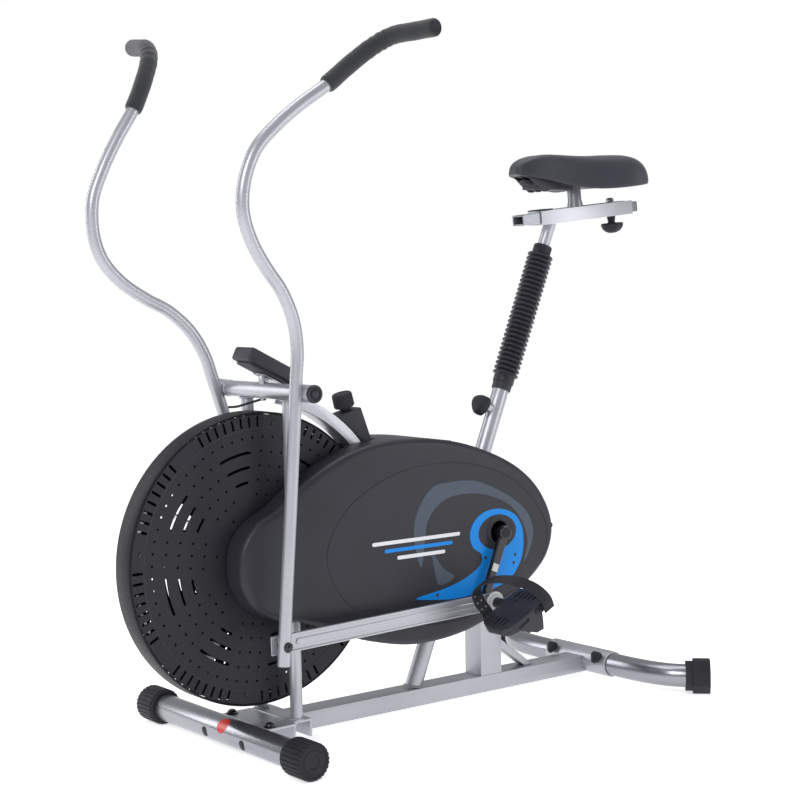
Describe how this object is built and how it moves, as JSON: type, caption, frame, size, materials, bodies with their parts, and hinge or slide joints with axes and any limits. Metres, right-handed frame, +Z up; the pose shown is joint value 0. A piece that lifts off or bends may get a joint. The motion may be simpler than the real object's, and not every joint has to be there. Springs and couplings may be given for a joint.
{
  "type": "air bike",
  "caption": "Upright fan exercise bike with caged fan wheel, swinging arm levers, pedals with straps, console and a height-adjustable padded saddle.",
  "frame": {"origin": "on the floor, under the middle of the whole bike's bounding box", "axes": "+X from the fan towards the saddle, +Y to the rider's right-hand side, +Z up"},
  "size_m": [1.1957, 0.6078, 1.25],
  "materials": {
    "silver_paint": "silver-grey powder coat with a slight metallic sparkle",
    "polished_steel": "bright plated steel",
    "axle_steel": "plain machined steel",
    "dark_metal": "black chromed or blackened steel",
    "black_plastic": "fine-textured matte black moulding",
    "black_rubber": "matte black rubber or soft plastic",
    "grip_foam": "charcoal foam sleeve with fine wrinkles",
    "saddle_vinyl": "dark charcoal grained vinyl",
    "grey_plastic": "smooth grey plastic"
  },
  "bodies": {
    "frame": {"front_foot_tube": "silver_paint", "left_front_foot_cap": "black_rubber", "right_front_foot_cap": "black_rubber", "front_bracket": "silver_paint", "left_front_foot_bolt": "dark_metal", "right_front_foot_bolt": "dark_metal", "main_rail": "silver_paint", "left_upright": "silver_paint", "right_upright": "silver_paint", "pivot_crossbar": "silver_paint", "arc_tube": "silver_paint", "seat_tube": "silver_paint", "crank_post": "silver_paint", "post_gusset": "silver_paint", "rear_foot_sleeve": "silver_paint", "left_rear_foot_tube": "silver_paint", "right_rear_foot_tube": "silver_paint", "left_rear_foot_cap": "black_rubber", "right_rear_foot_cap": "black_rubber", "left_rear_foot_bolt": "black_rubber", "right_rear_foot_bolt": "black_rubber", "left_cage_grille": "black_plastic", "right_cage_grille": "black_plastic", "cage_band": "black_plastic", "fan_axle": "axle_steel", "left_cover": "black_plastic", "right_cover": "black_plastic", "drive_chain": "axle_steel", "console": "black_plastic", "console_bracket": "silver_paint", "tension_housing": "black_plastic", "sensor_cable": "black_rubber", "seat_bellows": "black_rubber"},
    "fan": {"fan_wheel": "dark_metal"},
    "crankset": {"crank_axle": "dark_metal", "left_crank": "dark_metal", "right_crank": "dark_metal"},
    "left_pedal_body": {"left_pedal": "black_plastic", "left_pedal_strap": "black_rubber"},
    "right_pedal_body": {"right_pedal": "black_plastic", "right_pedal_strap": "black_rubber"},
    "left_link_body": {"left_link": "silver_paint"},
    "right_link_body": {"right_link": "silver_paint"},
    "left_lever_body": {"left_lever": "silver_paint", "left_grip": "grip_foam", "left_pivot_cap": "black_plastic", "left_lower_bolt": "dark_metal"},
    "right_lever_body": {"right_lever": "silver_paint", "right_grip": "grip_foam", "right_pivot_cap": "black_plastic", "right_lower_bolt": "dark_metal"},
    "seat_post_body": {"seat_post": "polished_steel"},
    "seat_body": {"seat_slider": "polished_steel", "saddle_base": "black_plastic", "saddle": "saddle_vinyl"},
    "seat_clamp_knob_body": {"seat_clamp_knob": "black_rubber"},
    "seat_pin_knob_body": {"seat_pin_knob": "black_rubber"},
    "tension_knob_body": {"tension_knob": "black_rubber"},
    "console_button_body": {"console_button": "grey_plastic"}
  },
  "joints": [
    {"name": "crank_spin", "type": "hinge", "parent": "frame", "child": "crankset", "pos_m": [0.1625, 0, 0.3285], "axis": [0, 1, 0], "continuous": true},
    {"name": "fan_spin", "type": "hinge", "parent": "frame", "child": "fan", "pos_m": [-0.3418, 0, 0.3267], "axis": [0, 1, 0], "continuous": true},
    {"name": "left_pedal_spin", "type": "hinge", "parent": "crankset", "child": "left_pedal_body", "pos_m": [0.11199, -0.164, 0.20655], "axis": [0, 1, 0], "continuous": true},
    {"name": "right_pedal_spin", "type": "hinge", "parent": "crankset", "child": "right_pedal_body", "pos_m": [0.21301, 0.164, 0.45045], "axis": [0, 1, 0], "continuous": true},
    {"name": "left_link_turn", "type": "hinge", "parent": "crankset", "child": "left_link_body", "pos_m": [0.11199, -0.11, 0.20655], "axis": [0, 1, 0], "continuous": true},
    {"name": "right_link_turn", "type": "hinge", "parent": "crankset", "child": "right_link_body", "pos_m": [0.21301, 0.11, 0.45045], "axis": [0, 1, 0], "continuous": true},
    {"name": "left_lever_swing", "type": "hinge", "parent": "frame", "child": "left_lever_body", "pos_m": [-0.3095, -0.126, 0.617], "axis": [0, 1, 0], "range_deg": [-27, 5]},
    {"name": "right_lever_swing", "type": "hinge", "parent": "frame", "child": "right_lever_body", "pos_m": [-0.3095, 0.126, 0.617], "axis": [0, 1, 0], "range_deg": [-5, 27]},
    {"name": "seat_height", "type": "slide", "parent": "frame", "child": "seat_post_body", "axis": [0.3833, 0, 0.9236], "range_m": [-0.13, 0], "deforming": ["seat_bellows"]},
    {"name": "seat_slide", "type": "slide", "parent": "seat_post_body", "child": "seat_body", "axis": [0.9945, 0, 0.1045], "range_m": [-0.04, 0.03]},
    {"name": "seat_clamp_turn", "type": "hinge", "parent": "seat_body", "child": "seat_clamp_knob_body", "pos_m": [0.54056, 0, 0.93098], "axis": [-0.1045, 0, 0.9945], "range_deg": [-180, 180]},
    {"name": "seat_pin_pull", "type": "slide", "parent": "frame", "child": "seat_pin_knob_body", "axis": [-0.9236, 0, 0.3833], "range_m": [0, 0.01], "stiffness_N_per_m": 800, "springref_m": -0.004},
    {"name": "tension_turn", "type": "hinge", "parent": "frame", "child": "tension_knob_body", "pos_m": [-0.137, 0, 0.573], "axis": [-0.2599, 0, 0.9656], "range_deg": [0, 270]},
    {"name": "console_button_press", "type": "slide", "parent": "frame", "child": "console_button_body", "axis": [-0.4478, 0, -0.8941], "range_m": [0, 0.0015], "stiffness_N_per_m": 400, "springref_m": -0.0005}
  ],
  "couplings": [
    {"joint": "fan_spin", "follows": "crank_spin", "ratio": 2.6667},
    {"joint": "left_link_turn", "follows": "crank_spin", "ratio": -1},
    {"joint": "right_link_turn", "follows": "crank_spin", "ratio": -1},
    {"joint": "right_lever_swing", "follows": "left_lever_swing", "ratio": -1}
  ]
}
